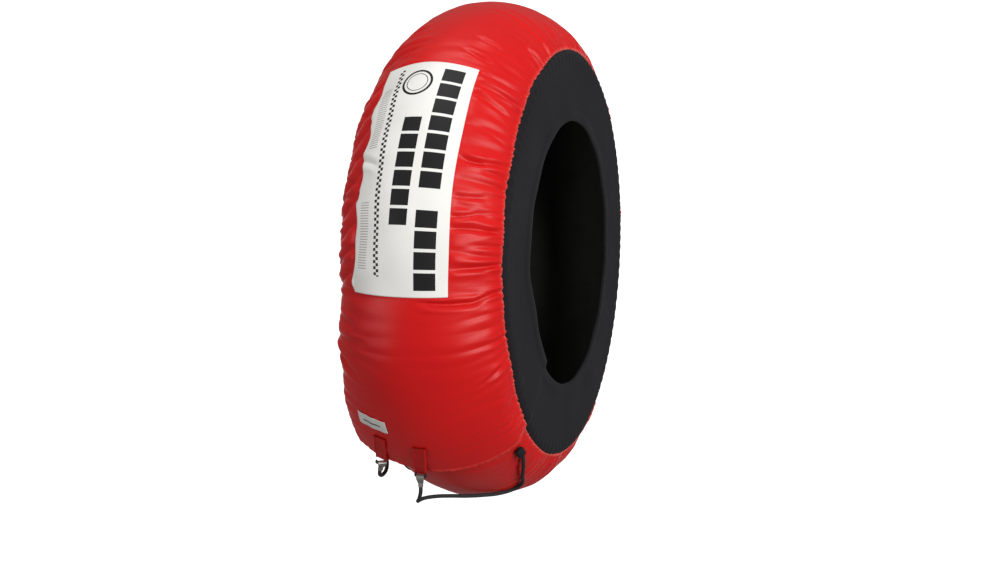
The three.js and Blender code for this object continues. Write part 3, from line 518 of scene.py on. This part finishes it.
label_tones = node(coated, "ShaderNodeMix", {
    "Factor": grime.outputs["Fac"], "A": (0.80, 0.79, 0.745, 1), "B": (0.94, 0.93, 0.90, 1),
}, data_type="RGBA")
inked = node(coated, "ShaderNodeMix", {
    "Factor": ink, "A": label_tones.outputs["Result"], "B": (0.010, 0.010, 0.011, 1)}, data_type="RGBA")
label_bump = node(coated, "ShaderNodeBump", {
    "Strength": 0.1, "Distance": 0.0002, "Height": print_wear.outputs["Fac"]})
coated.node_tree.links.new(inked.outputs["Result"], coated_shader.inputs["Base Color"])
coated.node_tree.links.new(label_bump.outputs["Normal"], coated_shader.inputs["Normal"])
label = skin("label_cloth", 90, 230, label_shape, coated, thickness=0.0006, offset=1)
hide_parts("front_label")

# Small label near the closure: a narrow plain tag of the same coated cloth, sewn down flat. One thin
# line is printed on it.
tag_left, tag_right, tag_top, tag_bottom = -0.076, -0.036, 482.2, 485.4


def toned(name, dark, light, roughness, scale, depth, **sockets):
    """A material that drifts between two tones and has a fine grain."""
    made, shader = surface(name, light, roughness, **sockets)
    shader.inputs["Specular IOR Level"].default_value = 0.2
    where = node(made, "ShaderNodeTexCoord").outputs["Object"]
    drift = node(made, "ShaderNodeTexNoise", {"Vector": where, "Scale": 40, "Detail": 4})
    tones = node(made, "ShaderNodeMix", {
        "Factor": drift.outputs["Fac"], "A": (*dark, 1), "B": (*light, 1)}, data_type="RGBA")
    grain = node(made, "ShaderNodeTexVoronoi", {"Vector": where, "Scale": scale})
    bump = node(made, "ShaderNodeBump", {
        "Strength": 0.5, "Distance": depth, "Height": grain.outputs["Distance"]})
    made.node_tree.links.new(tones.outputs["Result"], shader.inputs["Base Color"])
    made.node_tree.links.new(bump.outputs["Normal"], shader.inputs["Normal"])
    return made


def tag_shape(u, v):
    arc = tag_left + (tag_right - tag_left) * (u + 1) / 2
    angle = tag_top + (tag_bottom - tag_top) * (v + 1) / 2
    ripple = 0.0003 * np.sin(arc * 420)
    spread = np.stack([arc - tag_left, np.radians(angle - tag_top) * wrap_radius], axis=-1)
    return wrapped(arc, angle, cover_height(arc, angle) + 0.0010 + ripple), spread


tag_cloth = toned("tag_cloth", (0.62, 0.61, 0.57), (0.80, 0.79, 0.75), 0.5, 2400, 0.0002)
tag_shader = tag_cloth.node_tree.nodes["Principled BSDF"]
tag_place = node(tag_cloth, "ShaderNodeSeparateXYZ", {
    "Vector": node(tag_cloth, "ShaderNodeUVMap", uv_map="cloth").outputs["UV"]})
tag_line, tag_from = (
    node(tag_cloth, "ShaderNodeMath", {0: tag_place.outputs[axis], 1: middle, 2: reach}, operation="COMPARE")
    for axis, middle, reach in (("Y", 0.0098, 0.0011), ("X", 0.020, 0.012)))
tag_ink = node(tag_cloth, "ShaderNodeMath", {
    0: tag_line.outputs[0], 1: tag_from.outputs[0]}, operation="MULTIPLY")
tag_tones = tag_shader.inputs["Base Color"].links[0].from_socket
tag_inked = node(tag_cloth, "ShaderNodeMix", {
    "Factor": tag_ink.outputs[0], "A": tag_tones, "B": (0.05, 0.04, 0.04, 1)}, data_type="RGBA")
tag_cloth.node_tree.links.new(tag_inked.outputs["Result"], tag_shader.inputs["Base Color"])
tag = skin("small_label_cloth", 60, 24, tag_shape, tag_cloth, thickness=0.0007)
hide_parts("small_label")

# Hem bindings: red tape folded over each cut end of the cover. Two rows of stitches sew it through,
# so its faces are pulled in a little at each stitch.
hem_tape = toned("hem_tape", (0.50, 0.010, 0.010), (0.78, 0.050, 0.040), 0.5, 2600, 0.0003)


def squared(turn, power):
    """Cosine and sine of a turn round a section with squared corners."""
    u, v = np.cos(turn), np.sin(turn)
    return np.sign(u) * np.abs(u) ** power, np.sign(v) * np.abs(v) ** power


def rolled(points, distance):
    """The points turned on round the centre by that distance along the wrap."""
    turn = np.asarray(distance) / wrap_radius
    x, y, z = (points[..., k] for k in range(3))
    return np.stack([x, y * np.cos(turn) - z * np.sin(turn), y * np.sin(turn) + z * np.cos(turn)], axis=-1)


for name, end_angle, away in (("flap_hem", flap_angle, 1), ("tuck_hem", tuck_angle, -1)):
    def folded(u, v):
        arc = u * cloth_half_width(np.full_like(u, end_angle))
        along_hem, through = squared(v * math.pi, 0.5)
        off_edge = 0.00035 + 0.0026 * (1 + along_hem)
        stitches = 0.5 + 0.5 * np.cos(arc / 0.0032 * 2 * math.pi)
        rows = sum(np.exp(-((off_edge - row) / 0.0005) ** 2) for row in (0.0014, 0.0040))
        waves = 0.0003 * np.sin(arc * 310) + 0.0002 * np.sin(arc * 770 + 1)
        out = -0.0015 + (0.0021 - 0.0004 * rows * stitches) * through + waves
        height = gathers(arc, np.full_like(u, end_angle)) * 0.8
        points = rolled(wrapped(arc, np.full_like(u, end_angle), out + height), away * off_edge)
        return points, np.stack([arc, off_edge + 0.01 * (through < 0)], axis=-1)
    hem = skin(f"{name}_tape", 620, 28, folded, hem_tape, closed=True)
    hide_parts(name)

# Flap tabs: red webbing sewn onto the flap, over its hem. The edges are turned in, so a raised pleat
# runs down each side, and cross stitches hold the upper end.
tab_middles = {"right": -0.001, "left": -0.052}
tab_run, tab_past = math.radians(7.6) * wrap_radius, 0.008
tab_half, tab_lean = 0.008, 0.012
webbing = toned("red_webbing", (0.46, 0.005, 0.006), (0.64, 0.014, 0.010), 0.5, 1900, 0.0003)
for side, tab_middle in tab_middles.items():
    def tab_shape(u, v):
        reach = (u + 1) / 2 * (tab_run + tab_past)
        past = np.maximum(reach - tab_run, 0)
        angle = flap_angle - np.degrees((tab_run - np.minimum(reach, tab_run)) / wrap_radius)
        off_middle, through = squared(v * math.pi, 0.4)
        arc = tab_middle - tab_lean * reach / (tab_run + tab_past) + tab_half * off_middle
        pleat = 0.0011 * np.exp(-((np.abs(off_middle) - 0.80) / 0.13) ** 2)
        seam = -0.0004 * sum(np.exp(-((reach - row) / 0.0007) ** 2) for row in (0.004, 0.012))
        droop = 0.0007 * np.sin(reach * 190) * off_middle
        over_hem = 0.0006 * ease((reach - tab_run / 2) / (tab_run * 0.38))
        out = 0.0012 + over_hem + 0.0008 * through + (through > 0) * (pleat + seam) + droop
        points = rolled(wrapped(arc, angle, out + gathers(arc, angle)), past)
        return points, np.stack([tab_half * off_middle, reach], axis=-1)
    tab = skin(f"flap_tab_{side}_webbing", 120, 72, tab_shape, webbing, closed=True)
    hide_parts(f"flap_tab_{side}")

# Elastic loops: thin black elastic cord, with both ends sewn in under a tab's free edge. Each makes an
# eye that a hook catches in.
hook_turns = {"right": 0.0, "left": math.radians(40)}
for side, tab_middle in tab_middles.items():
    tip = rolled(wrapped(tab_middle - tab_lean, flap_angle, 0.0018), tab_past)
    corners = np.array([
        (-0.8, -0.2), (-1, -1.36), (-1, -2.94), (-0.8, -4.3), (0, -4.35), (0.8, -4.3), (1, -2.94), (1, -1.36),
        (0.8, -0.2)]) * (0.0072, 0.001) - (0, 0.00135)

    def loop_shape(u, v):
        knots = np.linspace(-1, 1, len(corners))
        fine = np.linspace(-1, 1, 400)
        path = np.stack([np.convolve(np.pad(np.interp(fine, knots, corners[:, k]), 14, mode="edge"),
                                     np.ones(29) / 29, "valid") for k in (0, 1)], axis=-1)
        tangent = np.gradient(path, axis=0)
        tangent /= np.linalg.norm(tangent, axis=1)[:, None]
        here = [np.interp(u, fine, path[:, k]) for k in (0, 1)]
        way = [np.interp(u, fine, tangent[:, k]) for k in (0, 1)]
        thick = 0.00125 * (1 + 0.05 * np.sin(u * 150))
        a, b = thick * np.cos(v * math.pi), thick * np.sin(v * math.pi)
        x, z = here[0] - way[1] * a, here[1] + way[0] * a
        turn = hook_turns[side]
        points = np.stack([tip[0] + x * math.cos(turn) - b * math.sin(turn),
                           tip[1] + x * math.sin(turn) + b * math.cos(turn), tip[2] + z], axis=-1)
        return points, np.stack([u * 0.02, v * 0.004], axis=-1)
    loop = skin(f"tab_loop_{side}_elastic", 120, 16, loop_shape, braid, closed=True)
    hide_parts(f"tab_loop_{side}")

# Hooks: flat steel canes, stamped and bent, dull grey with rounded edges and fine scratches. Their
# sockets are crimped onto the bungees' ends.
steel = toned("dull_steel", (0.24, 0.23, 0.21), (0.46, 0.44, 0.40), 0.42, 700, 0.00012, metallic=0.8)
for side in tab_middles:
    hook = frame["nodes"][f"hook_{side}"]
    hook.material_slots[0].material = steel
    edges = hook.modifiers.new("edges", "BEVEL")
    edges.width = 0.0003
    edges.segments = 3
    edges.limit_method = "ANGLE"

# Anchor sleeves: black woven tubes that hold the bungees' other ends. They are sewn down beside the
# seams, one at each rim of the cover.
sleeve_cloth = toned("sleeve_tape", (0.008, 0.008, 0.009), (0.024, 0.024, 0.026), 0.8, 1500, 0.0005)
sleeve_arc, sleeve_angle, sleeve_half_run, sleeve_half_width = 0.104, 143, 0.008, 0.0055
for side, flank in (("right", 1), ("left", -1)):
    def sleeve(u, v):
        wide, through = squared(v * math.pi, 0.7)
        swell = 1 + 0.06 * np.cos(u * 9) - 0.12 * np.exp(-((np.abs(u) - 0.82) / 0.07) ** 2)
        run, width = sleeve_half_run * u, sleeve_half_width * wide * swell
        out = 0.0040 + 0.0033 * through * swell
        arc, ahead = (sleeve_arc + width, run) if flank > 0 else (run - sleeve_arc, width)
        points = wrapped(arc, sleeve_angle + np.degrees(ahead / wrap_radius), out)
        return points, np.stack([run, v * 0.016], axis=-1)
    anchor = skin(f"anchor_{side}_sleeve", 60, 40, sleeve, sleeve_cloth, closed=True)
    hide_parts(f"bungee_anchor_{side}")

# Closure strips: black hook-and-loop tape across the warmer, sewn down round its edges. The soft half
# is on the tucked end and the hooked half under the flap.
strip_start, strip_end, strip_half = flap_angle - 368.4, flap_angle - 361, 0.082
for name, turn_on, out_at, fuzz in (("loop_strip", 0, 0.00095, 1), ("hook_strip", 360, -0.0045, -1)):
    tape = toned(f"{name}_tape", (0.006, 0.006, 0.007), (0.020, 0.020, 0.022), 0.95, 1100, 0.0012)

    def strip_shape(u, v):
        arc = strip_half * u
        angle = strip_start + turn_on + (strip_end - strip_start) * (v + 1) / 2
        edge = 0.0003 * np.exp(-((1 - np.abs(v)) / 0.08) ** 2)
        pile = 0.00012 * np.sin(arc * 2100) * np.sin(np.radians(angle) * wrap_radius * 2300)
        spread = np.stack([arc, np.radians(angle) * wrap_radius], axis=-1)
        return wrapped(arc, angle, out_at - fuzz * edge + pile), spread
    strip = skin(f"{name}_cloth", 240, 60, strip_shape, tape, thickness=0.0010)
    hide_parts(name)

# Insulation: a pale felt pad below the cover, all round but for the flap's last part. It is laid in
# loose and held by the seams and the liner.
pad_start, pad_end, pad_depth = 114.3, 471.4, 0.0078
felt = toned("pale_felt", (0.52, 0.50, 0.44), (0.72, 0.70, 0.63), 0.95, 500, 0.0015)


def pad_shape(u, v):
    angle = pad_start + (pad_end - pad_start) * (v + 1) / 2
    arc = 0.92 * u * cloth_half_width(angle)
    along_pad = np.radians(angle) * wrap_radius
    lumps = 0.0004 * np.sin(along_pad * 47 + arc * 31) * np.sin(arc * 83 - along_pad * 11)
    return wrapped(arc, angle, lumps - pad_depth), np.stack([arc, along_pad], axis=-1)


pad = skin("insulation_felt", 30, 420, pad_shape, felt, thickness=0.0040)
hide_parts("insulation")

# Inner liner: dark heat-resistant cloth, the innermost layer, sewn into both seams. It is quilted in
# rows so that it can't sag.
liner_cloth = toned("liner_cloth", (0.008, 0.008, 0.007), (0.022, 0.021, 0.018), 0.8, 1500, 0.0005)
liner_depth, liner_share, liner_mean_share, liner_mean_radius = 0.0166, 0.985, 0.97, 0.285


def liner_shape(u, v):
    angle = pad_start + (pad_end - pad_start) * (v + 1) / 2
    arc = liner_share * u * cloth_half_width(angle)
    along_liner = np.radians(angle) * wrap_radius
    rows = np.abs((along_liner / 0.045) % 1 - 0.5) * 0.045
    quilted = 0.0006 * np.exp(-(rows / 0.003) ** 2)
    into_seam = 0.0110 * ease((np.abs(u) - 0.90) / 0.10)
    height = quilted + into_seam - liner_depth
    return wrapped(arc, angle, height), np.stack([arc, along_liner], axis=-1)


liner = skin("inner_liner_cloth", 40, 900, liner_shape, liner_cloth, thickness=0.0008)
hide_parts("inner_liner")

# Gland: a moulded black rubber button with a dished middle, where the supply lead leaves. Its collar
# grips the cloth of the cover.
gland_rubber = toned("gland_rubber", (0.010, 0.010, 0.010), (0.022, 0.022, 0.022), 0.6, 900, 0.0003)
gland_arc, gland_angle = -0.084, 153.6
gland_base = wrapped(gland_arc, gland_angle, 0.00035)
gland_out = Vector(wrapped(gland_arc, gland_angle, 0.01035) - gland_base).normalized()
gland_axes = Matrix.Translation(Vector(gland_base)) @ gland_out.to_track_quat("Z", "Y").to_matrix().to_4x4()
button = bmesh.new()
rim = [
    (0, -0.010), (0.0058, -0.010), (0.006, -0.0096), (0.006, 0), (0.0108, 0), (0.011, 0.0003),
    (0.011, 0.0012), (0.0106, 0.0016), (0.0082, 0.0025), (0.0078, 0.0026), (0.0050, 0.0026),
    (0.0046, 0.0024), (0.0038, 0.0015), (0.0034, 0.0013), (0, 0.0013),
]
corners = [button.verts.new((radius, 0, height)) for radius, height in rim]
edges = [button.edges.new(pair) for pair in zip(corners, corners[1:])]
bmesh.ops.spin(button, geom=corners + edges, cent=(0, 0, 0), axis=(0, 0, 1), angle=math.tau, steps=64,
               use_merge=True, use_duplicate=False)
bmesh.ops.remove_doubles(button, verts=button.verts, dist=1e-5)
bmesh.ops.recalc_face_normals(button, faces=button.faces)
bmesh.ops.transform(button, matrix=gland_axes, verts=button.verts)
for face in button.faces:
    face.smooth = True
mesh = bpy.data.meshes.new("gland_button")
button.to_mesh(mesh)
button.free()
gland = show("gland_button", mesh, gland_rubber)
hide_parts("lead_gland")

# Heating parts sealed between felt and liner: grey silicone heating cord, dark moulded heat switch and
# cut-out, crimped brass splices and pale silicone leads. They don't show from outside.
for slot_name, dark, light, roughness, metallic in (
    ("element", (0.34, 0.32, 0.29), (0.46, 0.44, 0.40), 0.55, 0),
    ("splice", (0.50, 0.32, 0.08), (0.66, 0.45, 0.13), 0.35, 0.9),
    ("switch_case", (0.014, 0.014, 0.015), (0.028, 0.028, 0.030), 0.5, 0),
    ("lead", (0.66, 0.63, 0.57), (0.78, 0.75, 0.69), 0.5, 0),
):
    sealed = toned(f"sealed_{slot_name}", dark, light, roughness, 900, 0.0001, metallic=metallic)
    for entry in frame["record"]["subparts"]:
        if entry["material_slot"] == slot_name:
            frame["nodes"][entry["node"]].material_slots[0].material = sealed

# Studio: a bright white backdrop behind the warmer, as in a cut-out picture, and three soft lamps: the
# key from the right and front, a weak one from the left and one overhead
world = bpy.data.worlds.new("studio")
bpy.context.scene.world = world
world.use_nodes = True
world.node_tree.nodes["Background"].inputs["Color"].default_value = (1, 1, 1, 1)
world.node_tree.nodes["Background"].inputs["Strength"].default_value = 0.21
bpy.context.scene.view_settings.view_transform = "Standard"
wall = bmesh.new()
bmesh.ops.create_grid(wall, x_segments=1, y_segments=1, size=1)
bmesh.ops.scale(wall, verts=wall.verts, vec=(3.4, 2.0, 1))
bmesh.ops.rotate(wall, verts=wall.verts, matrix=Matrix.Rotation(math.radians(90), 3, "X"))
bmesh.ops.translate(wall, verts=wall.verts, vec=(-2.1, 5, -0.8))
wall_mesh = bpy.data.meshes.new("backdrop")
wall.to_mesh(wall_mesh)
wall.free()
backdrop = bpy.data.objects.new("backdrop", wall_mesh)
bpy.context.scene.collection.objects.link(backdrop)
white, white_shader = surface("white_backdrop", (0.9, 0.9, 0.9), 0.9)
white_shader.inputs["Emission Color"].default_value = (1, 1, 1, 1)
white_shader.inputs["Emission Strength"].default_value = 1.0
wall_mesh.materials.append(white)
for name, where, aim, width, height, power in (
    ("key", (2.1, -1.5, 0.6), (0, -0.1, 0.0), 0.9, 1.4, 54),
    ("left", (-1.7, -1.9, 0.1), (0, 0, 0.0), 0.7, 1.4, 14),
    ("top", (0.0, -0.5, 1.9), (0, 0, 0.2), 1.0, 0.8, 14),
):
    lamp = bpy.data.objects.new(name, bpy.data.lights.new(name, "AREA"))
    lamp.data.shape = "RECTANGLE"
    lamp.data.size, lamp.data.size_y = width, height
    lamp.data.energy = power
    lamp.location = where
    lamp.rotation_euler = (Vector(aim) - Vector(where)).to_track_quat("-Z", "Y").to_euler()
    bpy.context.scene.collection.objects.link(lamp)
